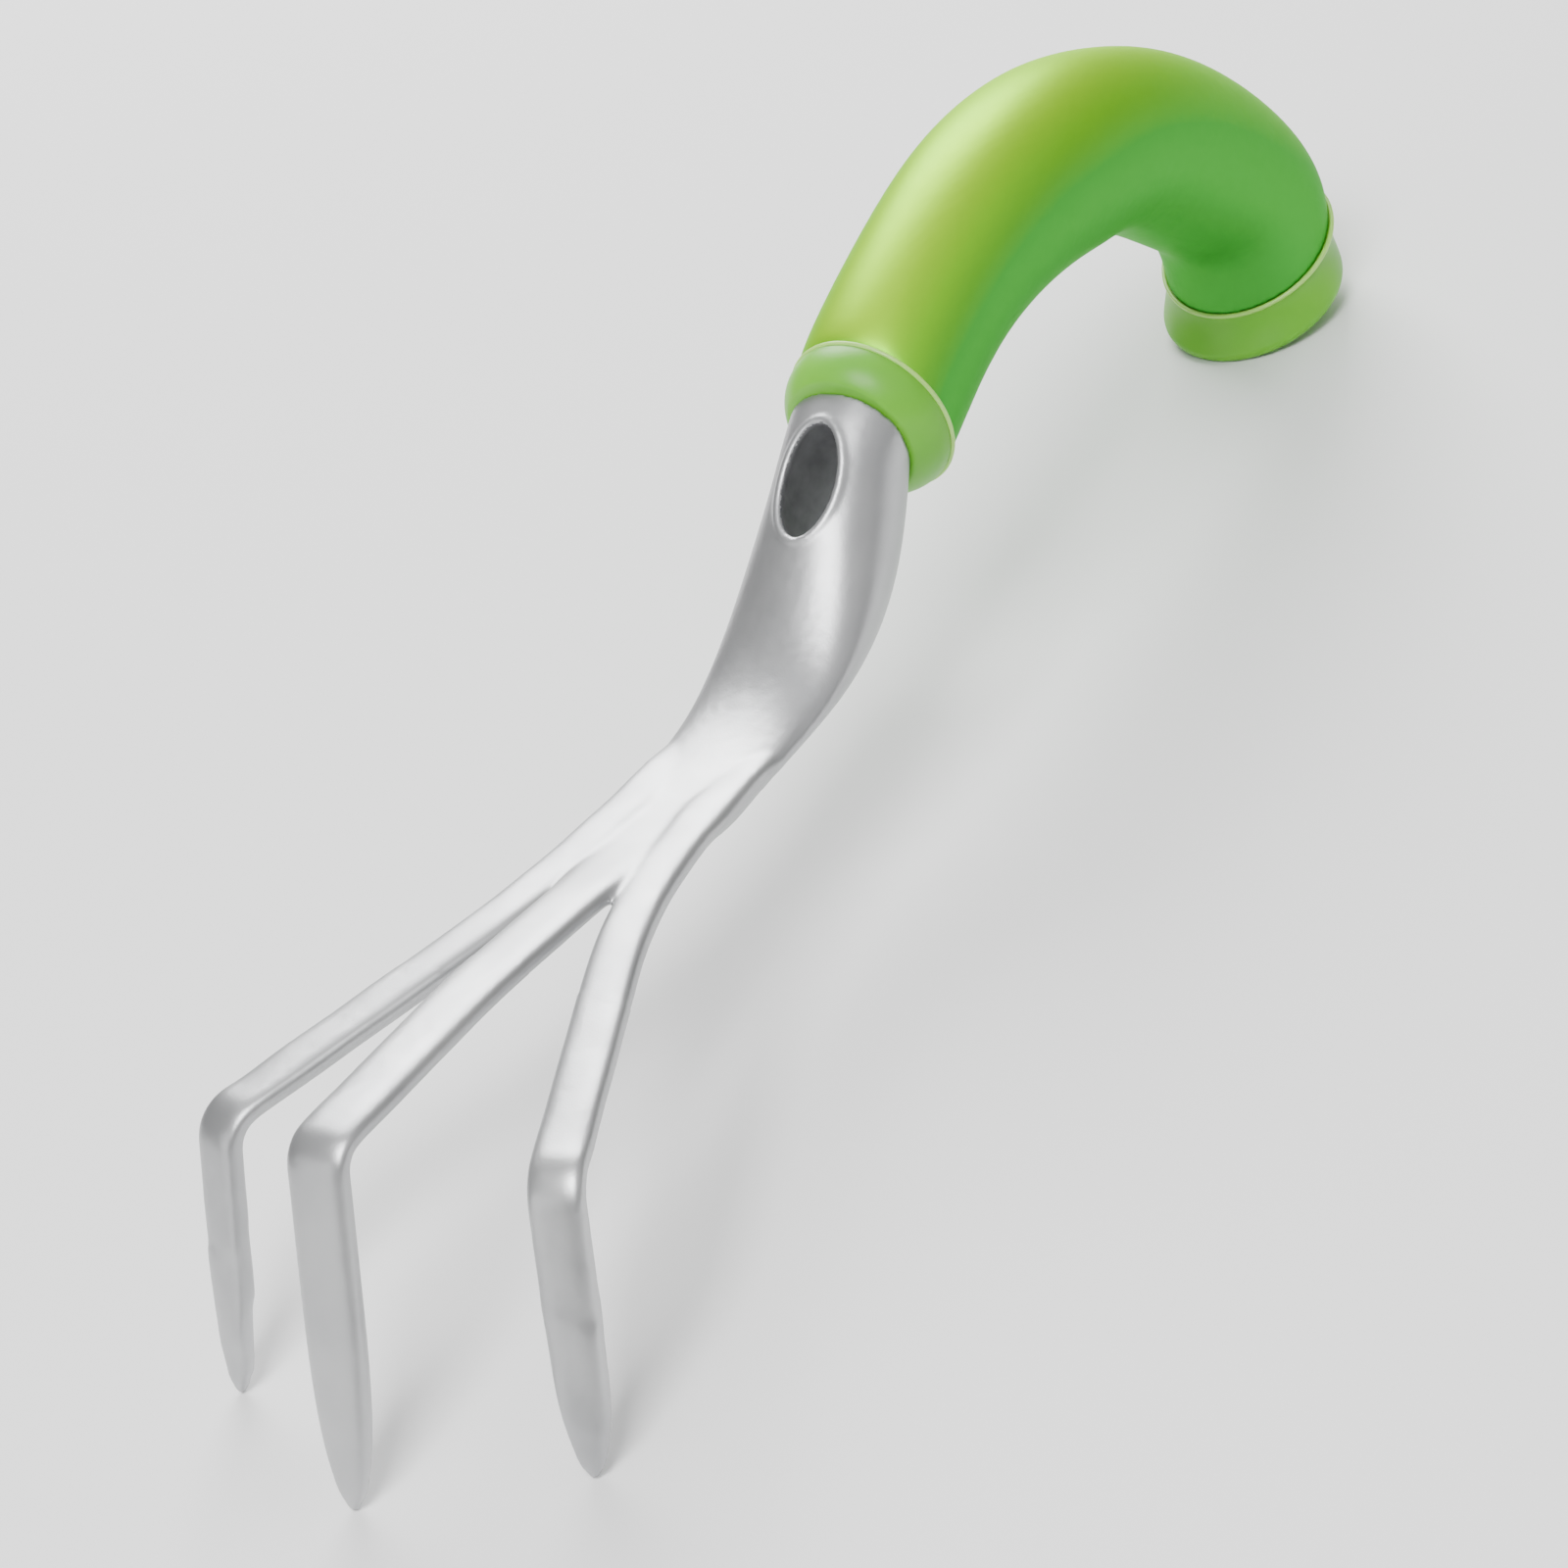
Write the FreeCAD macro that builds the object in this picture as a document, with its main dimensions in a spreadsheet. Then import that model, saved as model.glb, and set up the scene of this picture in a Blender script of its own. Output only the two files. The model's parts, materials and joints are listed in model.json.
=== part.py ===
"""Hand cultivator: a cast three-tine head held in an arched, soft-covered handle.

The tool stands on its three tine tips and on the cap at the rear of the handle. +Z is up, +Y runs
back from the tines to the handle, and X = 0 is the tool's plane of symmetry. The origin is at the
bottom centre of the whole tool. Millimetres and degrees.
"""

import FreeCAD, Part

import math
import os

import Sketcher
from FreeCAD import Placement, Rotation, Vector

# Driving dimensions: (alias, value, what it is).
DRIVING = [
    ("apex_back", 80.5, "distance of the handle's highest point behind the origin"),
    ("apex_height", 74.9, "height of the handle's centre line at its highest point"),
    ("arch_front_radius", 118.0, "bend of the centre line in front of the apex"),
    ("arch_back_radius", 93.5, "bend of the centre line behind the apex"),
    ("arch_tail_radius", 35.0, "bend of the centre line near its rear end"),
    ("arch_front_turn", 24.3, "turn from the collar's rim to the apex"),
    ("arch_back_turn", 56.5, "turn from the apex to the tail"),
    ("arch_tail_turn", 33.0, "turn of the tail"),
    ("grip_front_radius", 16.1, "outer radius of the grip at the collar"),
    ("grip_apex_radius", 18.9, "outer radius of the grip in the palm"),
    ("grip_rear_radius", 18.3, "outer radius of the grip before its flare"),
    ("core_radius", 12.0, "outer radius of the stiff core"),
    ("tang_radius", 6.0, "radius of the head's tang"),
    ("fit_gap", 0.1, "clearance round the tang, the pin and the cap's spigot"),
    ("rim_radius", 16.4, "largest radius of the collar"),
    ("rim_lean", 3.5, "lean of the collar's rim from upright"),
    ("collar_fall", -2.0, "fall of the collar's axis towards its nose"),
    ("collar_depth", 8.0, "distance from the collar's rim to its nose"),
    ("collar_nose_radius", 13.0, "radius of the collar's nose round the neck"),
    ("cap_radius", 20.0, "radius of the end cap's foot"),
    ("cap_rim_radius", 18.6, "radius of the end cap's rim under the grip"),
    ("cap_round", 1.2, "edge radius of the end cap's foot"),
    ("rim_back", 162.3, "distance of the cap's rim centre behind the origin"),
    ("rim_height", 14.7, "height of the cap's rim centre"),
    ("cap_rim_lean", 18.0, "lean of the cap's rim from level"),
    ("foot_back", 159.2, "distance of the foot's centre behind the origin"),
    ("foot_height", 3.93, "height of the foot's centre"),
    ("foot_lean", 12.8, "lean of the cap's foot from level"),
    ("spigot_radius", 6.5, "radius of the cap's spigot"),
    ("spigot_length", 12.0, "length of the cap's spigot"),
    ("pin_radius", 2.0, "radius of the cross pin"),
    ("pin_length", 23.6, "length of the cross pin"),
    ("pin_turn", 18.0, "turn from the apex forward to the cross pin"),
    ("tang_end_turn", 11.0, "turn from the apex forward to the tang's end"),
    ("neck_slope", 38.0, "fall of the neck from the collar"),
    ("neck_run", 15.8, "straight length of the neck"),
    ("neck_bend", 70.0, "radius of the neck's bend to level"),
    ("palm_bend", 220.0, "radius of the bend from the neck to the palm"),
    ("palm_rise", 12.0, "rise of the palm towards the tines"),
    ("neck_half_width", 12.4, "half width of the neck at the collar"),
    ("neck_half_depth", 10.8, "half depth of the neck at the collar"),
    ("waist_half_width", 10.2, "half width of the neck at its narrowest"),
    ("tine_width", 12.2, "width of a tine's face"),
    ("outer_width", 10.0, "width of an outer tine's face"),
    ("tine_thick", 4.0, "thickness of a tine"),
    ("middle_corner_front", 153.9, "distance of the middle tine's corner in front of the origin"),
    ("middle_corner_height", 55.9, "height of the middle tine's corner"),
    ("middle_tip_front", 180.2, "distance of the middle tine's tip in front of the origin"),
    ("middle_bow_front", 112.0, "distance of the middle tine's bow in front of the origin"),
    ("middle_bow_height", 51.6, "height of the middle tine's bow"),
    ("middle_bow_radius", 200.0, "bend radius of the middle tine's bow"),
    ("middle_corner_radius", 5.5, "bend radius of the middle tine's corner"),
    ("outer_bow_side", 9.4, "distance of an outer tine's bow from the plane of symmetry"),
    ("outer_bow_front", 79.5, "distance of an outer tine's bow in front of the origin"),
    ("outer_bow_drop", 0.6, "drop of an outer tine's bow under the middle of the palm"),
    ("outer_bow_radius", 110.0, "bend radius of an outer tine's bow"),
    ("outer_corner_side", 35.6, "distance of an outer tine's corner from the plane of symmetry"),
    ("outer_corner_front", 142.9, "distance of an outer tine's corner in front of the origin"),
    ("outer_corner_height", 44.9, "height of an outer tine's corner"),
    ("outer_corner_radius", 7.0, "bend radius of an outer tine's corner"),
    ("outer_tip_side", 38.0, "distance of an outer tine's tip from the plane of symmetry"),
    ("outer_tip_front", 163.4, "distance of an outer tine's tip in front of the origin"),
    ("outer_root_side", 7.2, "distance of an outer tine's root from the plane of symmetry"),
    ("outer_root_yaw", 12.0, "turn of an outer tine's face at its root"),
    ("outer_tip_yaw", 13.0, "turn of an outer tine's face at its tip"),
    ("tip_height", 0.3, "height of the middle of a tip above the ground"),
    ("tip_taper_share", 0.35, "share of a tine's lower part that comes before its taper"),
    ("hole_reach", 13.2, "distance from the collar to the middle of the hanging hole"),
    ("hole_lean", 24.0, "lean of the hanging hole from upright"),
    ("hole_length", 21.3, "length of the hanging hole"),
    ("hole_width", 11.4, "width of the hanging hole"),
]

SECTION_POINTS = 24  # points that carry one freeform section
TINE_SQUARENESS = 3.0  # exponent of a tine's rounded section
NECK_SQUARENESS = 2.1  # exponent of the neck's nearly elliptical section
TIP_SHARES = (0.85, 0.92, 0.965, 0.99, 1.0)  # sections that round a tip off


def make_sheet(doc):
    """Put the driving dimensions in a spreadsheet, one aliased row each."""
    sheet = doc.addObject("Spreadsheet::Sheet", "Sizes")
    for row, (alias, value, note) in enumerate(DRIVING, start=1):
        sheet.set(f"A{row}", note)
        sheet.set(f"B{row}", str(value))
        sheet.setAlias(f"B{row}", alias)
    doc.recompute()
    return sheet


doc = FreeCAD.newDocument("hand_cultivator")
sheet = make_sheet(doc)


def size(alias):
    """The value of one driving dimension."""
    return float(getattr(sheet, alias))


# --- The handle's centre line -------------------------------------------------------------------


def arch_station(turn):
    """(y, z, incline) on the handle's centre line, turn degrees behind its apex."""
    apex = (size("apex_back"), size("apex_height"))
    if turn <= 0:
        bend = size("arch_front_radius")
        angle = math.radians(turn)
        return apex[0] + bend * math.sin(angle), apex[1] - bend * (1 - math.cos(angle)), -turn
    bend = size("arch_back_radius")
    angle = math.radians(min(turn, size("arch_back_turn")))
    y = apex[0] + bend * math.sin(angle)
    z = apex[1] - bend * (1 - math.cos(angle))
    if turn > size("arch_back_turn"):
        tail = size("arch_tail_radius")
        end = math.radians(turn)
        y += tail * (math.sin(end) - math.sin(angle))
        z -= tail * (math.cos(angle) - math.cos(end))
    return y, z, -turn


def collar_station(depth):
    """(y, z, incline) of the collar's axis, depth millimetres in front of its rim."""
    y, z, _ = arch_station(-size("arch_front_turn"))
    fall = math.radians(size("collar_fall"))
    return y - depth * math.cos(fall), z - depth * math.sin(fall), size("rim_lean")


def cap_station(share):
    """(y, z, incline) on the end cap, share of the way from its rim to its foot."""
    y = size("rim_back") + (size("foot_back") - size("rim_back")) * share
    z = size("rim_height") + (size("foot_height") - size("rim_height")) * share
    lean = size("cap_rim_lean") + (size("foot_lean") - size("cap_rim_lean")) * share
    return y, z, lean - 90.0


def core_end_station():
    """Where the core's centre line meets the plane of the end cap's rim."""
    y, _, _ = arch_station(size("arch_back_turn") + size("arch_tail_turn"))
    lean = size("cap_rim_lean")
    z = size("rim_height") + (y - size("rim_back")) * math.tan(math.radians(lean))
    return y, z, lean - 90.0


# --- Helpers for the revolved, padded and lofted sub-parts --------------------------------------


def new_body(label):
    body = doc.addObject("PartDesign::Body", label)
    body.Label = label
    return body


def origin_plane(body, role):
    return next(f for f in body.Origin.OriginFeatures if f.Role == role)


def place_sketch(sketch, body, role, offset):
    sketch.AttachmentSupport = [(origin_plane(body, role), "")]
    sketch.MapMode = "FlatFace"
    sketch.AttachmentOffset = offset


def cross_sketch(body, label, station):
    """An empty sketch square to the tool's plane of symmetry, facing along the station."""
    y, z, incline = station
    sketch = body.newObject("Sketcher::SketchObject", label)
    offset = Placement(Vector(0, z, -y), Rotation(Vector(1, 0, 0), incline))
    place_sketch(sketch, body, "XZ_Plane", offset)
    return sketch


def circle_sketch(body, label, station, radius):
    """A circle on a station of a centre line, its radius an expression of the sheet."""
    sketch = cross_sketch(body, label, station)
    sketch.addGeometry(Part.Circle(Vector(0, 0, 0), Vector(0, 0, 1), 10.0))
    sketch.addConstraint(Sketcher.Constraint("Coincident", 0, 3, -1, 1))
    sketch.addConstraint(Sketcher.Constraint("Radius", 0, 10.0))
    sketch.renameConstraint(1, "round_radius")
    sketch.setExpression("Constraints.round_radius", radius)
    return sketch


def circle_loft(body, kind, label, rings):
    """Loft through circles given as (station, radius expression)."""
    sketches = []
    for number, (station, radius) in enumerate(rings, start=1):
        sketches.append(circle_sketch(body, f"{label}_ring_{number}", station, radius))
    loft = body.newObject(f"PartDesign::{kind}Loft", label)
    loft.Profile = sketches[0]
    loft.Sections = sketches[1:]
    doc.recompute()
    return loft


def mix(first, second, share):
    """Expression for a size share of the way from one cell to another."""
    return f"Sizes.{first} + (Sizes.{second} - Sizes.{first}) * {share:.3f}"


def core_rings(radius):
    """Rings along the whole core, from the collar's rim to the cap's rim."""
    front = size("arch_front_turn")
    last = size("arch_back_turn") + size("arch_tail_turn")
    turns = [-0.7 * front, -0.35 * front, 0, 0.2 * last, 0.4 * last, 0.6 * last, 0.75 * last, 0.9 * last]
    rings = [(collar_station(0.0), radius)]
    rings += [(arch_station(turn), radius) for turn in turns]
    rings.append((core_end_station(), radius))
    return rings


def tang_stations():
    """Stations of the tang, from inside the neck to its end in the core."""
    front = -size("arch_front_turn")
    end = -size("tang_end_turn")
    stations = []
    for depth in (size("collar_depth") + 4.0, size("collar_depth") / 2):
        y, z, _ = collar_station(depth)
        stations.append((y, z, -front))
    return stations + [arch_station(front + (end - front) * step / 3) for step in (1, 2, 3)]


# --- Handle -------------------------------------------------------------------------------------


def cut_tang_socket(body):
    """The socket that holds the tang."""
    rings = [(station, "Sizes.tang_radius + Sizes.fit_gap") for station in tang_stations()]
    circle_loft(body, "Subtractive", f"{body.Name}_socket", rings)


def make_core():
    """Stiff core, moulded round the tang, with sockets for the cap's spigot and the cross pin."""
    body = new_body("handle_core")
    circle_loft(body, "Additive", "core_tube", core_rings("Sizes.core_radius"))
    cut_tang_socket(body)
    loose = "Sizes.spigot_radius + Sizes.fit_gap"
    spigot = circle_sketch(body, "spigot_socket_circle", core_end_station(), loose)
    socket = body.newObject("PartDesign::Pocket", "spigot_socket")
    socket.Profile = spigot
    socket.setExpression("Length", "Sizes.spigot_length + Sizes.fit_gap")
    socket.Reversed = True
    y, z, _ = arch_station(-size("pin_turn"))
    bore_sketch = body.newObject("Sketcher::SketchObject", "pin_bore_circle")
    place_sketch(bore_sketch, body, "YZ_Plane", Placement(Vector(y, z, 0), Rotation()))
    bore_sketch.addGeometry(Part.Circle(Vector(0, 0, 0), Vector(0, 0, 1), 2.0))
    bore_sketch.addConstraint(Sketcher.Constraint("Radius", 0, 2.0))
    bore_sketch.renameConstraint(0, "bore_radius")
    bore_sketch.setExpression("Constraints.bore_radius", "Sizes.pin_radius + Sizes.fit_gap")
    bore = body.newObject("PartDesign::Pocket", "pin_bore")
    bore.Profile = bore_sketch
    bore.Midplane = True
    bore.setExpression("Length", "Sizes.core_radius * 4")
    doc.recompute()
    return body


def make_sleeve():
    """Soft grip over the core: slim at the collar, full in the palm, flared onto the end cap."""
    body = new_body("grip_sleeve")
    last = size("arch_back_turn") + size("arch_tail_turn")
    front = size("arch_front_turn")
    rings = [
        (collar_station(0.0), "Sizes.grip_front_radius"),
        (arch_station(-0.75 * front), mix("grip_front_radius", "grip_apex_radius", 0.05)),
        (arch_station(-0.4 * front), mix("grip_front_radius", "grip_apex_radius", 0.15)),
        (arch_station(0), mix("grip_front_radius", "grip_apex_radius", 0.62)),
        (arch_station(0.2 * last), "Sizes.grip_apex_radius"),
        (arch_station(0.4 * last), mix("grip_apex_radius", "grip_rear_radius", 0.4)),
        (arch_station(0.6 * last), mix("grip_apex_radius", "grip_rear_radius", 0.9)),
        (arch_station(0.8 * last), "Sizes.grip_rear_radius"),
        (cap_station(0.0), "Sizes.cap_rim_radius - 0.5"),
    ]
    circle_loft(body, "Additive", "grip_tube", rings)
    circle_loft(body, "Subtractive", "core_cavity", core_rings("Sizes.core_radius"))
    return body


def make_collar():
    """Light collar in front of the grip: a rounded ring that closes onto the neck."""
    body = new_body("front_collar")
    depth = size("collar_depth")
    rings = [
        (collar_station(0.0), "Sizes.rim_radius"),
        (collar_station(0.4 * depth), "Sizes.rim_radius - 0.3"),
        (collar_station(0.8 * depth), mix("rim_radius", "collar_nose_radius", 0.55)),
        (collar_station(depth), "Sizes.collar_nose_radius"),
    ]
    circle_loft(body, "Additive", "collar_ring", rings)
    cut_tang_socket(body)
    return body


def make_cap():
    """End cap: a flared foot under the grip, its edge rounded, with a spigot that plugs the core."""
    body = new_body("end_cap")
    rings = [
        (cap_station(0.0), "Sizes.cap_rim_radius"),
        (cap_station(0.3), "Sizes.cap_rim_radius - 0.2"),
        (cap_station(0.65), mix("cap_rim_radius", "cap_radius", 0.45)),
        (cap_station(1.0), "Sizes.cap_radius"),
    ]
    foot = circle_loft(body, "Additive", "cap_foot", rings)
    lowest = min(range(len(foot.Shape.Edges)), key=lambda i: foot.Shape.Edges[i].CenterOfMass.z)
    edge = body.newObject("PartDesign::Fillet", "cap_edge")
    edge.Base = (foot, [f"Edge{lowest + 1}"])
    edge.setExpression("Radius", "Sizes.cap_round")
    doc.recompute()
    circle = circle_sketch(body, "spigot_circle", core_end_station(), "Sizes.spigot_radius")
    spigot = body.newObject("PartDesign::Pad", "spigot")
    spigot.Profile = circle
    spigot.setExpression("Length", "Sizes.spigot_length")
    doc.recompute()
    return body


def make_pin():
    """Steel cross pin that keeps the tang in the core."""
    pin = doc.addObject("Part::Cylinder", "tang_pin")
    pin.Label = "tang_pin"
    pin.setExpression("Radius", "Sizes.pin_radius")
    pin.setExpression("Height", "Sizes.pin_length")
    y, z, _ = arch_station(-size("pin_turn"))
    pin.Placement = Placement(Vector(-size("pin_length") / 2, y, z), Rotation(Vector(0, 1, 0), 90))
    return pin


# --- Cast head ----------------------------------------------------------------------------------


def section(centre, along, across, half_width, half_depth, squareness):
    """Closed superellipse square to `along`, its width towards `across`."""
    along = Vector(along).normalize()
    across = (Vector(across) - along * along.dot(across)).normalize()
    up = along.cross(across)
    points = []
    for number in range(SECTION_POINTS):
        angle = 2 * math.pi * number / SECTION_POINTS
        c = math.cos(angle)
        s = math.sin(angle)
        wide = math.copysign(abs(c) ** (2 / squareness), c) * half_width
        deep = math.copysign(abs(s) ** (2 / squareness), s) * half_depth
        points.append(centre + across * wide + up * deep)
    curve = Part.BSplineCurve()
    curve.interpolate(Points=points, PeriodicFlag=True)
    return Part.Wire([curve.toShape()])


def run_points(start, end, spacing=9.0):
    """Evenly spaced points inside a straight run, with its direction."""
    run = end - start
    count = int(run.Length / spacing)
    return [(start + run * (step / (count + 1)), Vector(run).normalize()) for step in range(1, count + 1)]


def graded_points(start, end):
    """Points inside a straight run that follows a bend: close together at first, then wider apart."""
    run = end - start
    reached = 2.0
    points = []
    while reached < run.Length - 3.0:
        points.append((start + run * (reached / run.Length), Vector(run).normalize()))
        reached = 1.35 * reached + 1.8
    return points


def bent_path(corners, bends, bend_steps=5):
    """Points and directions along a polyline whose inner corners are rounded by the radii `bends`."""
    path = [(corners[0], (corners[1] - corners[0]).normalize())]
    for before, corner, after, radius in zip(corners, corners[1:], corners[2:], bends):
        come = (corner - before).normalize()
        leave = (after - corner).normalize()
        turn = come.getAngle(leave)
        start = corner - come * radius * math.tan(turn / 2)
        inward = (leave - come * come.dot(leave)).normalize()
        path += run_points(path[-1][0], start)
        for step in range(bend_steps + 1):
            angle = turn * step / bend_steps
            point = start + come * radius * math.sin(angle) + inward * radius * (1 - math.cos(angle))
            path.append((point, come * math.cos(angle) + inward * math.sin(angle)))
    return path


def neck_start():
    """Centre of the neck where it leaves the collar."""
    y, z, _ = collar_station(size("collar_depth"))
    return Vector(0, y, z)


def neck_station(distance):
    """Point and forward direction on the neck's centre line, distance along it from the collar."""
    slope = math.radians(size("neck_slope"))
    rise = math.radians(size("palm_rise"))
    point = neck_start()
    straight = min(distance, size("neck_run"))
    point += Vector(0, -math.cos(slope), -math.sin(slope)) * straight
    left = distance - straight
    fall = slope
    for bend, turn in ((size("neck_bend"), slope), (size("palm_bend"), rise)):
        part = min(left, bend * turn)
        after = fall - part / bend
        run = bend * (math.sin(fall) - math.sin(after))
        drop = bend * (math.cos(after) - math.cos(fall))
        point += Vector(0, -run, -drop)
        left -= part
        fall = after
    point += Vector(0, -math.cos(fall), -math.sin(fall)) * left
    return point, Vector(0, -math.cos(fall), -math.sin(fall))


def neck_sections():
    """The neck: round at the collar, deepest under the hanging hole, then flattening to the palm."""
    wide = size("neck_half_width")
    deep = size("neck_half_depth")
    waist = size("waist_half_width")
    half_tine = size("tine_thick") / 2
    # distance along the neck, half width, half depth
    stages = [
        (0.0, wide, deep),
        (10.0, wide + 0.2, deep + 0.5),
        (21.0, wide + 1.4, deep + 0.3),
        (33.0, wide + 2.3, 0.86 * deep),
        (46.0, wide + 2.2, 0.58 * deep),
        (60.0, waist + 3.2, 0.36 * deep),
        (76.0, waist + 2.6, half_tine + 0.7),
        (90.0, waist + 2.2, half_tine + 0.2),
        (99.0, 0.84 * waist, half_tine),
        (108.0, size("tine_width") / 2 + 0.3, half_tine),
    ]
    wires = []
    for distance, half_width, half_depth in stages:
        point, along = neck_station(distance)
        if distance == 0.0:
            lean = math.radians(size("rim_lean"))
            along = Vector(0, -math.cos(lean), -math.sin(lean))
        flat = min(max(distance - 60.0, 0.0) / 32.0, 1.0)
        squareness = NECK_SQUARENESS + (TINE_SQUARENESS - NECK_SQUARENESS) * flat
        wires.append(section(point, along, Vector(1, 0, 0), half_width, half_depth, squareness))
    return wires


def tip_taper(share):
    """(width, thickness) factors of a tine, share of the way down its lower part."""
    start = size("tip_taper_share")
    drawn = max(share - start, 0.0) / (1.0 - start)
    left = 1.0 - drawn**3
    return max(left**0.55, 0.14), max(left**0.3, 0.3)


def tine_sections(corners, bends, root_yaw, tip_yaw, width):
    """Sections of one tine: a flat bar bent down at its last corner and drawn to a blunt point."""
    upper = corners[-2] - corners[-3]
    lower = corners[-1] - corners[-2]
    path = bent_path(corners, bends)
    path += graded_points(path[-1][0], corners[-2] + lower * TIP_SHARES[0])
    path += [(corners[-2] + lower * share, lower) for share in TIP_SHARES]
    wires = []
    for point, along in path:
        bent = 1.0 - min(lower.getAngle(along) / lower.getAngle(upper), 1.0)
        yaw = math.radians(root_yaw + (tip_yaw - root_yaw) * bent)
        across = Vector(math.cos(yaw), math.sin(yaw), 0)
        reached = (point - corners[-2]).dot(lower) / lower.Length**2
        wide, thick = tip_taper(reached)
        half_thick = size("tine_thick") / 2 * thick
        wires.append(section(point, along, across, width / 2 * wide, half_thick, TINE_SQUARENESS))
    return wires


def spine_solid():
    """The neck, the palm and the middle tine, in one smooth run."""
    wires = neck_sections()
    palm, _ = neck_station(116.0)
    bow = Vector(0, -size("middle_bow_front"), size("middle_bow_height"))
    corner = Vector(0, -size("middle_corner_front"), size("middle_corner_height"))
    tip = Vector(0, -size("middle_tip_front"), size("tip_height"))
    bends = [size("middle_bow_radius"), size("middle_corner_radius")]
    wires += tine_sections([palm, bow, corner, tip], bends, 0.0, 0.0, size("tine_width"))
    return Part.makeLoft(wires, True, False)


def palm_level(front):
    """Height of the palm's middle line, this far in front of the origin."""
    behind, _ = neck_station(80.0)
    ahead, _ = neck_station(110.0)
    share = (-front - behind.y) / (ahead.y - behind.y)
    return behind.z + (ahead.z - behind.z) * share


def outer_tine_solid():
    """The outer tine at +X. It lies in the palm up to its bow, then leaves it in an arc to one side."""
    root, _ = neck_station(64.0)
    start = Vector(size("outer_root_side"), root.y, root.z)
    bow_front = size("outer_bow_front")
    bow = Vector(size("outer_bow_side"), -bow_front, palm_level(bow_front) - size("outer_bow_drop"))
    corner = Vector(size("outer_corner_side"), -size("outer_corner_front"), size("outer_corner_height"))
    tip = Vector(size("outer_tip_side"), -size("outer_tip_front"), size("tip_height"))
    bends = [size("outer_bow_radius"), size("outer_corner_radius")]
    yaws = size("outer_root_yaw"), size("outer_tip_yaw")
    wires = tine_sections([start, bow, corner, tip], bends, *yaws, size("outer_width"))
    return Part.makeLoft(wires, True, False)


def hang_hole():
    """Oval cutter for the hanging hole, which leans less than the neck does."""
    point, _ = neck_station(size("hole_reach"))
    lean = math.radians(size("hole_lean"))
    axis = Vector(0, -math.sin(lean), math.cos(lean))
    depth = 3.0 * size("neck_half_depth")
    half_width = size("hole_width") / 2
    half_length = size("hole_length") / 2
    oval = section(point + axis * (depth / 2), axis * -1, Vector(1, 0, 0), half_width, half_length, 2.0)
    return Part.Face(oval).extrude(axis * -depth)


def tang_solid():
    """The tang, cast in one with the neck."""
    wires = []
    for y, z, incline in tang_stations():
        angle = math.radians(incline)
        forward = Vector(0, math.cos(angle), math.sin(angle))
        circle = Part.Circle(Vector(0, y, z), forward, size("tang_radius"))
        wires.append(Part.Wire([circle.toShape()]))
    return Part.makeLoft(wires, True, False)


def make_head():
    """The aluminium casting: tang, neck, palm and three tines in one piece."""
    shape = spine_solid()
    outer = outer_tine_solid()
    mirrored = outer.mirror(Vector(0, 0, 0), Vector(1, 0, 0))
    for other in (outer, mirrored, tang_solid()):
        shape = shape.fuse(other)
    shape = shape.cut(hang_hole())
    y, z, _ = arch_station(-size("pin_turn"))
    radius = size("pin_radius") + size("fit_gap")
    shape = shape.cut(Part.makeCylinder(radius, 40.0, Vector(-20.0, y, z), Vector(1, 0, 0)))
    head = doc.addObject("Part::Feature", "tine_head")
    head.Label = "tine_head"
    head.Shape = shape
    return head


def check(parts):
    """Stop if any object of the document failed, or a sub-part is empty or invalid."""
    for thing in doc.Objects:
        if "Invalid" in thing.State or "Error" in thing.State:
            raise RuntimeError(f"{thing.Label} failed: {thing.State}")
    for part in parts:
        if part.Shape.isNull() or not part.Shape.isValid():
            raise RuntimeError(f"{part.Label} has no valid shape")
        solids = len(part.Shape.Solids)
        print(f"{part.Label}: {solids} solid(s), {part.Shape.Volume:.0f} mm3")


def main():
    parts = [make_head(), make_core(), make_sleeve(), make_collar(), make_cap(), make_pin()]
    doc.recompute()
    check(parts)
    os.makedirs("parts", exist_ok=True)
    for part in parts:
        part.Shape.exportStep(f"parts/{part.Label}.step")


main()
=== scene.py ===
"""Looks of the hand cultivator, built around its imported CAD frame. Metres, in its coordinates."""

import json
import math

import bmesh
import bpy
from mathutils import Matrix, Vector


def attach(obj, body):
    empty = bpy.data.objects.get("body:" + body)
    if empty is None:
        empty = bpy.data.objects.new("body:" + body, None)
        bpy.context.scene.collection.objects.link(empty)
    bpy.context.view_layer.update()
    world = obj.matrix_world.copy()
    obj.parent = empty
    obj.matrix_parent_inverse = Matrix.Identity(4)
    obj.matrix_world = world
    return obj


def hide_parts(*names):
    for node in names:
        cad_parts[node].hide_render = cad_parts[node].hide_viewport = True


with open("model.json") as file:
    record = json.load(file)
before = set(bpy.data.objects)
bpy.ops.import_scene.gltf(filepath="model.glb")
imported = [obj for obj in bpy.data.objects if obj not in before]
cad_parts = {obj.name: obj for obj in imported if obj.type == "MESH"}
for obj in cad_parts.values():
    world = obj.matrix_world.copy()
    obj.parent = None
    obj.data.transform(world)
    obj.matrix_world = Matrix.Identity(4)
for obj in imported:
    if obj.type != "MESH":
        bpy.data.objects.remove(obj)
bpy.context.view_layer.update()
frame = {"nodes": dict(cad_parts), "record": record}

MM = 0.001

# Camera: where it stands, and the directions of the picture's right and top sides.
CAMERA_PLACE = Vector((0.4239, -0.4593, 0.4328))
CAMERA_RIGHT = Vector((0.8096, 0.4958, -0.3143)).normalized()
CAMERA_TOP = Vector((-0.0906, 0.6346, 0.7675)).normalized()
CAMERA_LENS = 93.4  # millimetres, on a sensor 36 mm wide

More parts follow.
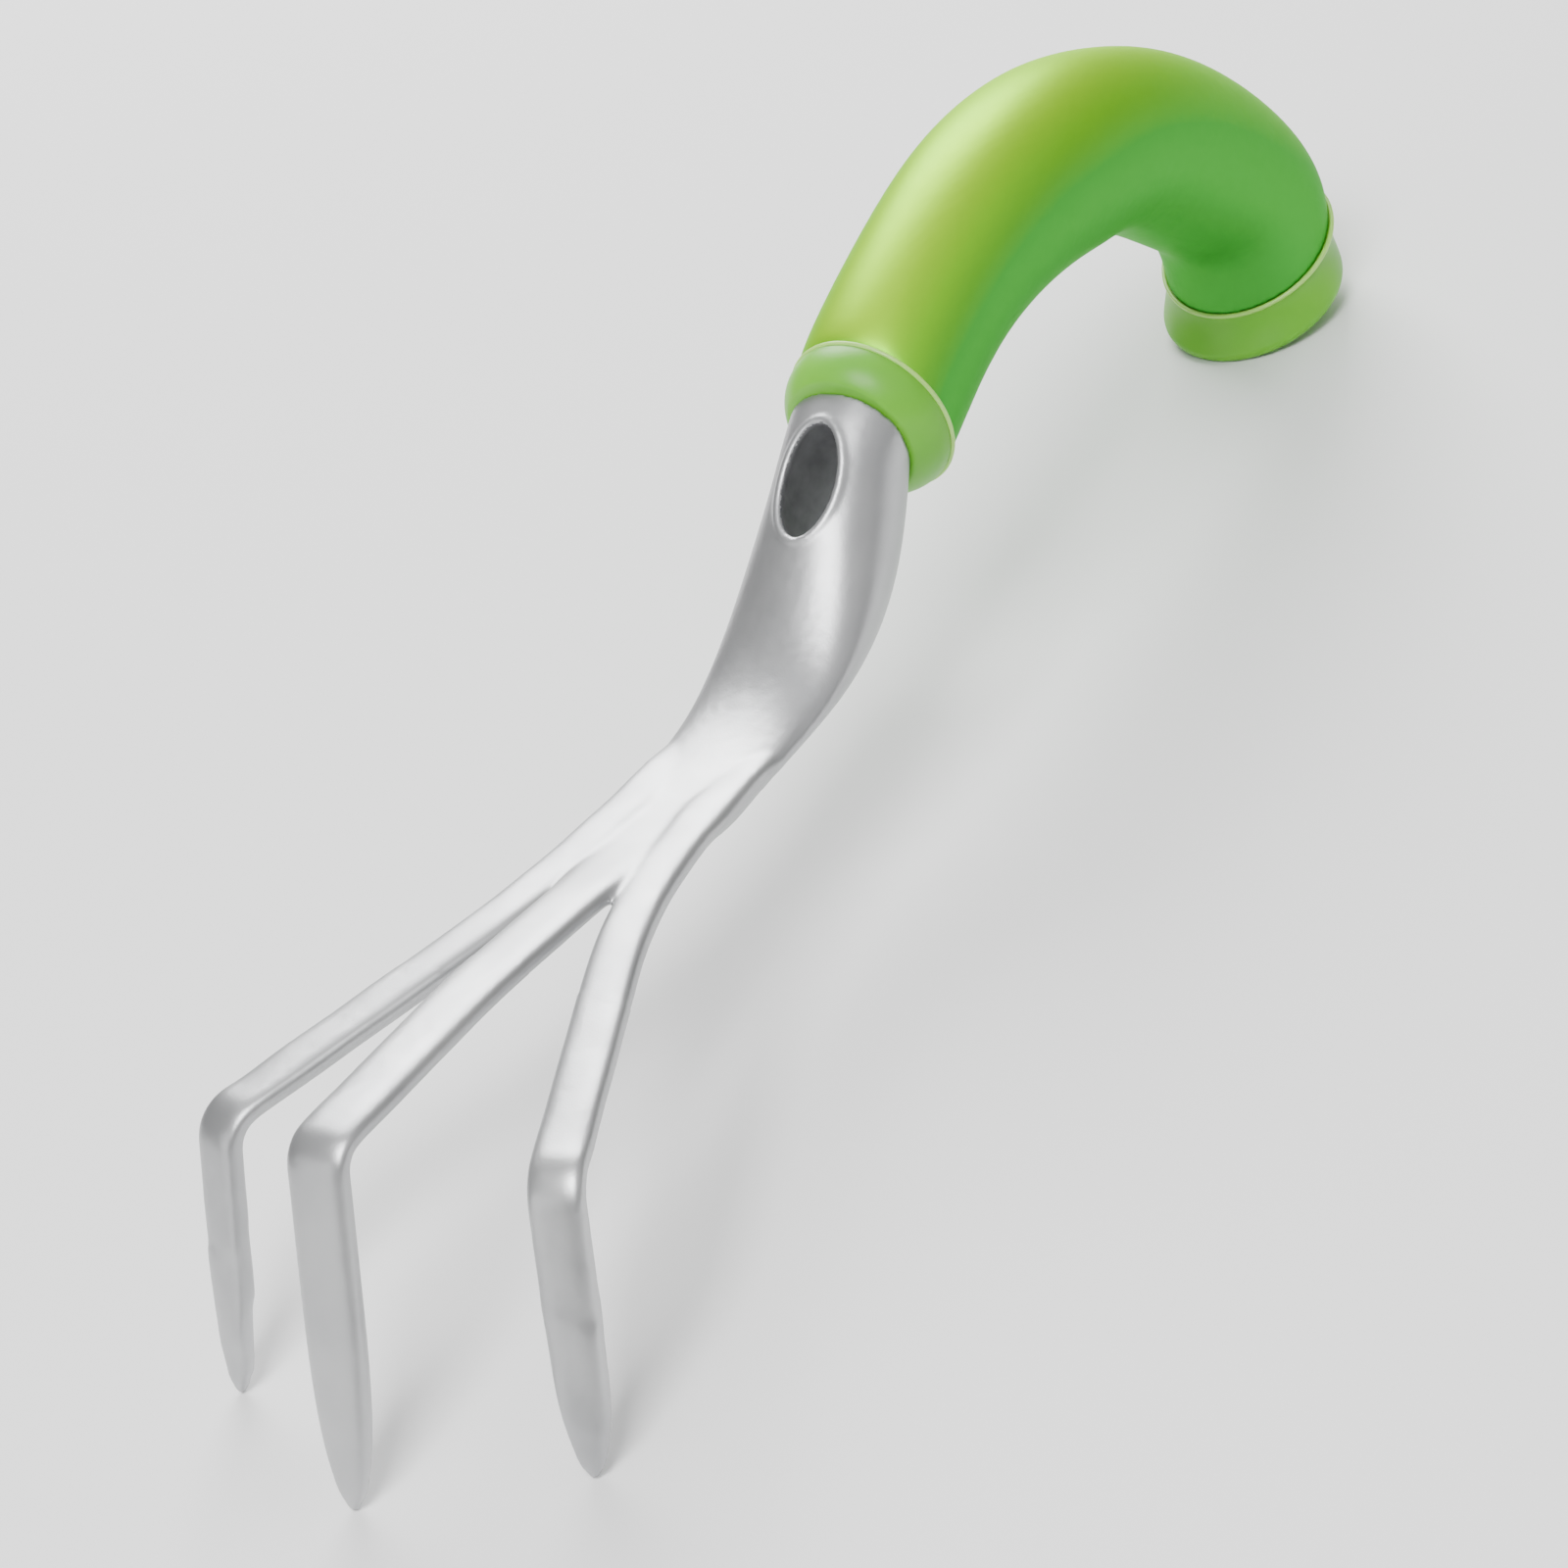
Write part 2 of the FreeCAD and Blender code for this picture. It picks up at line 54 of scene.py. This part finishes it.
# Lights: name, place, size in metres, power in watts. All of them aim at the middle of the tool.
AIM = Vector((0.0, 0.0, 0.05))
LIGHTS = [
    ("back_left", Vector((-0.65, 0.88, 0.82)), 0.8, 30.0),
    ("overhead", Vector((0.20, -0.50, 1.00)), 0.5, 16.0),
    ("front_left", Vector((-0.55, -1.05, 0.40)), 0.7, 3.0),
    ("right", Vector((1.00, 0.20, 0.70)), 0.9, 1.5),
]
WORLD_STOPS = [(0.48, 0.14), (0.60, 0.24), (1.0, 0.52)]  # height of the view, brightness

# Finish of the meshes: voxel size, and how many times the surface is smoothed.
HEAD_VOXEL = 0.4 * MM
GRIP_VOXEL = 0.45 * MM
TRIM_VOXEL = 0.3 * MM
HEAD_SMOOTH_STEPS = 8
GRIP_SMOOTH_STEPS = 10
TRIM_SMOOTH_STEPS = 4
PALM_BLEND_STEPS = 12
PALM_FRONT = -104.0 * MM
PALM_BACK = -44.0 * MM

# Sizes the frame's boxes don't give.
HOLE_HALF_WIDTH = 5.7 * MM
HOLE_HALF_LENGTH = 10.65 * MM
RIM_OFFSET = 0.7 * MM  # from the hole's edge to the middle of its rim
RIM_TUBE = 1.0 * MM
RIM_SINK = 0.65 * MM
RIM_POINTS = 96
RAY_START = 50.0 * MM  # above the hole's middle, clear of the neck
BORE_MARGIN = 0.3 * MM  # how far past the hole's edge its wall is looked for
BORE_FACING = 0.5  # a face of the wall looks across the hole's axis, not along it
COLLAR_LEAN = math.radians(3.5)
END_FLATNESS = 0.05 * MM
LIP_TUBE = 0.5 * MM
CAP_LEAN = math.radians(18.0)  # rise of the cap's rim towards the back
CAP_LIP_RADIUS = 18.5 * MM
CAP_LIP_PROUD = 0.4 * LIP_TUBE
REAR_HALF = 100.0 * MM  # the grip's rear end lies behind this


# --- Materials ------------------------------------------------------------------------------------


class Look:
    """A principled material and short ways to add nodes to it."""

    def __init__(self, name):
        self.material = bpy.data.materials.new(name)
        self.material.use_nodes = True
        self.tree = self.material.node_tree
        self.shader = self.tree.nodes["Principled BSDF"]

    def set(self, **values):
        """Set the shader's inputs; an underscore stands for a space in an input's name."""
        for name, value in values.items():
            self.shader.inputs[name.replace("_", " ")].default_value = value

    def node(self, kind, **inputs):
        node = self.tree.nodes.new(kind)
        for name, value in inputs.items():
            node.inputs[name.replace("_", " ")].default_value = value
        return node

    def link(self, source, target):
        self.tree.links.new(source, target)

    def noise(self, scale, detail, stretch=(1.0, 1.0, 1.0)):
        """Noise over the object's own coordinates."""
        place = self.node("ShaderNodeTexCoord")
        mapping = self.node("ShaderNodeMapping", Scale=stretch)
        noise = self.node("ShaderNodeTexNoise", Scale=scale, Detail=detail)
        self.link(place.outputs["Object"], mapping.inputs["Vector"])
        self.link(mapping.outputs["Vector"], noise.inputs["Vector"])
        return noise.outputs["Fac"]

    def facing_up(self, waver):
        """0 on faces that look down, 1 on faces that look up, with a little cloudy waver."""
        normal = self.node("ShaderNodeNewGeometry")
        parts = self.node("ShaderNodeSeparateXYZ")
        mixed = self.node("ShaderNodeMath")
        self.link(normal.outputs["Normal"], parts.inputs["Vector"])
        self.link(self.spread(parts.outputs["Z"], 0.0, 1.0 - waver), mixed.inputs[0])
        self.link(self.spread(self.noise(22.0, 3.0), 0.0, waver), mixed.inputs[1])
        return mixed.outputs["Value"]

    def ramp(self, factor, stops):
        """Colour ramp with (place, colour) stops."""
        ramp = self.node("ShaderNodeValToRGB")
        elements = ramp.color_ramp.elements
        while len(elements) < len(stops):
            elements.new(0.5)
        for element, (place, colour) in zip(elements, stops):
            element.position = place
            element.color = (*colour, 1.0)
        self.link(factor, ramp.inputs["Fac"])
        return ramp.outputs["Color"]

    def spread(self, factor, low, high):
        """Turn a 0 to 1 factor into low to high."""
        node = self.node("ShaderNodeMapRange")
        node.inputs["To Min"].default_value = low
        node.inputs["To Max"].default_value = high
        self.link(factor, node.inputs["Value"])
        return node.outputs["Result"]

    def bump(self, height, distance, strength):
        node = self.node("ShaderNodeBump", Strength=strength, Distance=distance)
        self.link(height, node.inputs["Height"])
        self.link(node.outputs["Normal"], self.shader.inputs["Normal"])


def cast_aluminium():
    """Bead-blasted casting: fine grain, soft gloss, slightly uneven tone."""
    look = Look("cast_aluminium")
    look.set(Metallic=0.9)
    tone = look.noise(38.0, 4.0)
    greys = [(0.35, (0.41, 0.415, 0.425)), (0.65, (0.48, 0.485, 0.49))]
    look.link(look.ramp(tone, greys), look.shader.inputs["Base Color"])
    look.link(look.spread(look.noise(160.0, 3.0), 0.36, 0.46), look.shader.inputs["Roughness"])
    look.bump(look.noise(2600.0, 2.0), 0.05 * MM, 0.35)
    return look.material


def grip_rubber_painted_light():
    """Soft green grip: satin, with painted light in its base colour: yellow-lime painted highlight
    on the faces that look up, deep green painted shade on the faces that look down.
    """
    look = Look("grip_rubber")
    look.set(Metallic=0.55, Specular_IOR_Level=0.15, Specular_Tint=(0.35, 0.75, 0.08, 1.0))
    greens = [(0.2, (0.05, 0.34, 0.04)), (0.6, (0.20, 0.56, 0.012)), (0.85, (0.31, 0.60, 0.006))]
    # Base colour by facing: painted highlight (lime) on up-facing faces, painted shade (deep green)
    # on down-facing faces.
    look.link(look.ramp(look.facing_up(0.12), greens), look.shader.inputs["Base Color"])
    look.link(look.spread(look.noise(420.0, 4.0), 0.42, 0.50), look.shader.inputs["Roughness"])
    look.bump(look.noise(1500.0, 3.0), 0.04 * MM, 0.25)
    return look.material


def trim_plastic():
    """Lighter, cloudy green plastic of the collar and the end cap."""
    look = Look("trim_plastic")
    look.set(Subsurface_Weight=0.30, Subsurface_Scale=0.006, Specular_IOR_Level=0.3)
    look.set(Subsurface_Radius=(0.6, 1.0, 0.3), Coat_Weight=0.05, Coat_Roughness=0.3)
    tone = look.noise(45.0, 3.0)
    greens = [(0.3, (0.10, 0.38, 0.016)), (0.7, (0.14, 0.44, 0.024))]
    look.link(look.ramp(tone, greens), look.shader.inputs["Base Color"])
    look.link(look.spread(look.noise(300.0, 3.0), 0.36, 0.46), look.shader.inputs["Roughness"])
    look.bump(look.noise(1200.0, 2.0), 0.03 * MM, 0.2)
    return look.material


def lip_painted_highlight():
    """Pale glossy green ring along the edge of the green plastic: its pale colour is a painted
    highlight.
    """
    look = Look("lip_painted_highlight")
    look.set(Subsurface_Weight=0.3, Subsurface_Scale=0.004, Subsurface_Radius=(0.6, 1.0, 0.3))
    # Pale greens: painted highlight on the rims.
    greens = [(0.3, (0.33, 0.66, 0.11)), (0.7, (0.38, 0.72, 0.14))]
    look.link(look.ramp(look.noise(60.0, 2.0), greens), look.shader.inputs["Base Color"])
    look.link(look.spread(look.noise(300.0, 2.0), 0.28, 0.36), look.shader.inputs["Roughness"])
    return look.material


def bore_painted_shade():
    """Wall inside the hanging hole: rougher than the blasted outside, and darker grey as painted
    shade in the hole.
    """
    look = Look("bore_painted_shade")
    look.set(Metallic=0.6)
    # Dark greys: painted shade inside the hole.
    greys = [(0.3, (0.15, 0.152, 0.160)), (0.7, (0.20, 0.202, 0.210))]
    look.link(look.ramp(look.noise(300.0, 3.0), greys), look.shader.inputs["Base Color"])
    look.link(look.spread(look.noise(500.0, 3.0), 0.6, 0.75), look.shader.inputs["Roughness"])
    return look.material


def core_plastic():
    """Hidden core: plain moulded polypropylene."""
    look = Look("core_plastic")
    greens = [(0.3, (0.10, 0.26, 0.02)), (0.7, (0.13, 0.30, 0.03))]
    look.link(look.ramp(look.noise(60.0, 2.0), greens), look.shader.inputs["Base Color"])
    look.link(look.spread(look.noise(300.0, 2.0), 0.5, 0.6), look.shader.inputs["Roughness"])
    return look.material


def pin_steel():
    """Ground steel pin, with fine marks round it."""
    look = Look("pin_steel")
    look.set(Metallic=1.0, Base_Color=(0.55, 0.55, 0.56, 1.0))
    marks = look.noise(900.0, 3.0, (6.0, 1.0, 1.0))
    look.link(look.spread(marks, 0.25, 0.4), look.shader.inputs["Roughness"])
    return look.material


def floor_paper():
    """Plain pale paper."""
    look = Look("floor_paper")
    look.set(Base_Color=(0.84, 0.84, 0.84, 1.0), Roughness=0.9)
    return look.material


# --- Pieces ---------------------------------------------------------------------------------------


def paint(piece, material):
    piece.data.materials.clear()
    piece.data.materials.append(material)


def new_piece(name, mesh, material):
    """Put a mesh in the scene as a piece of the tool."""
    piece = bpy.data.objects.new(name, mesh)
    bpy.context.scene.collection.objects.link(piece)
    paint(piece, material)
    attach(piece, "root")
    return piece


def applied(mesh, *modifiers):
    """The mesh after modifiers, each given as (kind, {setting: value})."""
    carrier = bpy.data.objects.new("carrier", mesh)
    bpy.context.scene.collection.objects.link(carrier)
    for kind, settings in modifiers:
        modifier = carrier.modifiers.new(kind, kind)
        for name, value in settings.items():
            setattr(modifier, name, value)
    bpy.context.view_layer.update()
    finished = carrier.evaluated_get(bpy.context.evaluated_depsgraph_get())
    result = bpy.data.meshes.new_from_object(finished)
    bpy.data.objects.remove(carrier)
    return result


def refined(node, voxel, smooth_steps, extra=()):
    """A fine, softened copy of a CAD node's mesh, with extra meshes melted into it."""
    melt = bmesh.new()
    melt.from_mesh(frame["nodes"][node].data)
    for mesh in extra:
        melt.from_mesh(mesh)
    joined = bpy.data.meshes.new(node)
    melt.to_mesh(joined)
    melt.free()
    remesh = ("REMESH", {"mode": "VOXEL", "voxel_size": voxel, "use_smooth_shade": True})
    smooth = ("SMOOTH", {"factor": 0.5, "iterations": smooth_steps})
    return applied(joined, remesh, smooth)


def tube_mesh(name, centres, radius, sides=12):
    """A closed tube round a closed line of centres."""
    mesh = bmesh.new()
    count = len(centres)
    middle = sum(centres, Vector()) / count
    rings = []
    for number, centre in enumerate(centres):
        along = (centres[(number + 1) % count] - centres[number - 1]).normalized()
        out = centre - middle
        out = (out - along * along.dot(out)).normalized()
        up = along.cross(out)
        angles = [2 * math.pi * side / sides for side in range(sides)]
        spokes = [out * math.cos(a) + up * math.sin(a) for a in angles]
        rings.append([mesh.verts.new(centre + spoke * radius) for spoke in spokes])
    for first, second in zip(rings, rings[1:] + rings[:1]):
        for side in range(sides):
            after = (side + 1) % sides
            mesh.faces.new((first[side], second[side], second[after], first[after]))
    bmesh.ops.recalc_face_normals(mesh, faces=mesh.faces)
    for face in mesh.faces:
        face.smooth = True
    result = bpy.data.meshes.new(name)
    mesh.to_mesh(result)
    mesh.free()
    return result


def circle_points(centre, lean, radius, count=160):
    """Points of a circle whose plane leans back from upright by `lean` radians."""
    up = Vector((0, -math.sin(lean), math.cos(lean)))
    angles = [2 * math.pi * step / count for step in range(count)]
    spokes = [Vector((math.cos(a), 0, 0)) + up * math.sin(a) for a in angles]
    return [centre + spoke * radius for spoke in spokes]


def end_rim(node, lean):
    """Centre and radius of the flat round end of a node, on the side its axis points to."""
    axis = Vector((0, math.cos(lean), math.sin(lean)))
    verts = [vert.co for vert in frame["nodes"][node].data.vertices]
    far = max(place.dot(axis) for place in verts)
    rim = [place for place in verts if far - place.dot(axis) < END_FLATNESS]
    low = Vector([min(place[side] for place in rim) for side in range(3)])
    high = Vector([max(place[side] for place in rim) for side in range(3)])
    return (low + high) / 2, (high.x - low.x) / 2


def hole_frame():
    """The hanging hole's middle, its axis, and the direction of its long side."""
    mount = next(m for m in frame["record"]["mounts"] if m["name"] == "hang_hole")
    axis = Vector(mount["axis"]).normalized()
    return Vector(mount["pos_m"]), axis, Vector((1, 0, 0)).cross(axis)


def hole_rim():
    """A soft raised rim round the upper mouth of the hanging hole, laid on the neck's surface."""
    middle, axis, along = hole_frame()
    head = frame["nodes"]["tine_head"]
    centres = []
    for step in range(RIM_POINTS):
        angle = 2 * math.pi * step / RIM_POINTS
        across = math.cos(angle) * (HOLE_HALF_WIDTH + RIM_OFFSET)
        down = math.sin(angle) * (HOLE_HALF_LENGTH + RIM_OFFSET)
        start = middle + axis * RAY_START + Vector((1, 0, 0)) * across + along * down
        hit, place, _, _ = head.ray_cast(start, -axis)
        if hit:
            centres.append(place - axis * RIM_SINK)
    return tube_mesh("hole_rim", centres, RIM_TUBE)


def paint_bore_shade(piece):
    """Give the wall of the hanging hole its own material with painted shade, out to just inside the
    rims.
    """
    middle, axis, along = hole_frame()
    piece.data.materials.append(bore_painted_shade())
    for face in piece.data.polygons:
        offset = face.center - middle
        across = offset.x / (HOLE_HALF_WIDTH + BORE_MARGIN)
        down = offset.dot(along) / (HOLE_HALF_LENGTH + BORE_MARGIN)
        facing = abs(face.normal.dot(axis))
        if across**2 + down**2 < 1.0 and facing < BORE_FACING:
            face.material_index = 1


def soften_palm(mesh):
    """Blend the tines' roots into the palm."""
    melt = bmesh.new()
    melt.from_mesh(mesh)
    palm = [vert for vert in melt.verts if PALM_FRONT < vert.co.y < PALM_BACK]
    every_way = {"use_axis_x": True, "use_axis_y": True, "use_axis_z": True}
    for _ in range(PALM_BLEND_STEPS):
        bmesh.ops.smooth_vert(melt, verts=palm, factor=0.5, **every_way)
    melt.to_mesh(mesh)
    melt.free()


def make_head():
    """The casting: tang, neck, palm and tines."""
    voxel = HEAD_VOXEL
    mesh = refined("tine_head", voxel, HEAD_SMOOTH_STEPS, [hole_rim()])
    soften_palm(mesh)
    piece = new_piece("head_casting", mesh, cast_aluminium())
    # Painted shade on the wall of the hanging hole.
    paint_bore_shade(piece)
    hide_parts("tine_head")


def make_handle():
    """The soft grip, and the collar and cap at its ends."""
    voxel = GRIP_VOXEL
    mesh = refined("grip_sleeve", voxel, GRIP_SMOOTH_STEPS)
    grip = new_piece("grip_skin", mesh, grip_rubber_painted_light())
    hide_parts("grip_sleeve")
    trim = trim_plastic()
    for name, node in (("collar_trim", "front_collar"), ("cap_trim", "end_cap")):
        mesh = refined(node, TRIM_VOXEL, TRIM_SMOOTH_STEPS)
        piece = new_piece(name, mesh, trim)
        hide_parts(node)


def make_lips():
    """Pale lines where the collar and the cap meet the grip: raised rings whose pale colour is a
    painted highlight.
    """
    # Pale colour of the lip rings: painted highlight.
    pale = lip_painted_highlight()
    centre, radius = end_rim("front_collar", COLLAR_LEAN)
    circle = circle_points(centre, COLLAR_LEAN, radius)
    new_piece("collar_lip", tube_mesh("collar_lip", circle, LIP_TUBE), pale)

    sleeve = frame["nodes"]["grip_sleeve"].data.vertices
    rear = [vert.co for vert in sleeve if vert.co.y > REAR_HALF]
    lowest = min(rear, key=lambda place: place.z)
    centre = lowest + Vector((0, math.cos(CAP_LEAN), math.sin(CAP_LEAN))) * CAP_LIP_RADIUS
    centre.x = 0.0
    circle = circle_points(centre, CAP_LEAN - math.pi / 2, CAP_LIP_RADIUS + CAP_LIP_PROUD)
    new_piece("cap_lip", tube_mesh("cap_lip", circle, LIP_TUBE), pale)


def make_hidden():
    """Pieces inside the handle keep their CAD shapes."""
    paint(frame["nodes"]["handle_core"], core_plastic())
    paint(frame["nodes"]["tang_pin"], pin_steel())


# --- Floor, lights and camera ---------------------------------------------------------------------


def make_floor():
    bpy.ops.mesh.primitive_plane_add(size=8.0, location=(0, 0, 0))
    floor = bpy.context.object
    floor.name = "floor"
    paint(floor, floor_paper())


def make_lights():
    for name, place, size, power in LIGHTS:
        light = bpy.data.lights.new(name, "AREA")
        light.size = size
        light.energy = power
        lamp = bpy.data.objects.new(name, light)
        lamp.location = place
        lamp.rotation_euler = (AIM - place).to_track_quat("-Z", "Y").to_euler()
        bpy.context.scene.collection.objects.link(lamp)


def make_world():
    """A studio that is brighter overhead than at the horizon."""
    world = bpy.data.worlds.new("studio")
    world.use_nodes = True
    nodes = world.node_tree.nodes
    links = world.node_tree.links
    place = nodes.new("ShaderNodeTexCoord")
    parts = nodes.new("ShaderNodeSeparateXYZ")
    height = nodes.new("ShaderNodeMapRange")
    height.inputs["From Min"].default_value = -1.0
    ramp = nodes.new("ShaderNodeValToRGB")
    elements = ramp.color_ramp.elements
    elements.new(0.5)
    for element, (level, grey) in zip(elements, WORLD_STOPS):
        element.position = level
        element.color = (grey, grey, grey, 1.0)
    links.new(place.outputs["Generated"], parts.inputs["Vector"])
    links.new(parts.outputs["Z"], height.inputs["Value"])
    links.new(height.outputs["Result"], ramp.inputs["Fac"])
    links.new(ramp.outputs["Color"], nodes["Background"].inputs["Color"])
    bpy.context.scene.world = world


def make_camera():
    camera = bpy.data.cameras.new("camera")
    camera.lens = CAMERA_LENS
    camera.sensor_width = 36.0
    camera.clip_start = 0.01
    stand = bpy.data.objects.new("camera", camera)
    back = CAMERA_RIGHT.cross(CAMERA_TOP)
    turn = Matrix((CAMERA_RIGHT, CAMERA_TOP, back)).transposed()
    stand.matrix_world = Matrix.Translation(CAMERA_PLACE) @ turn.to_4x4()
    bpy.context.scene.collection.objects.link(stand)
    bpy.context.scene.camera = stand


make_head()
make_handle()
make_lips()
make_hidden()
make_floor()
make_lights()
make_world()
make_camera()
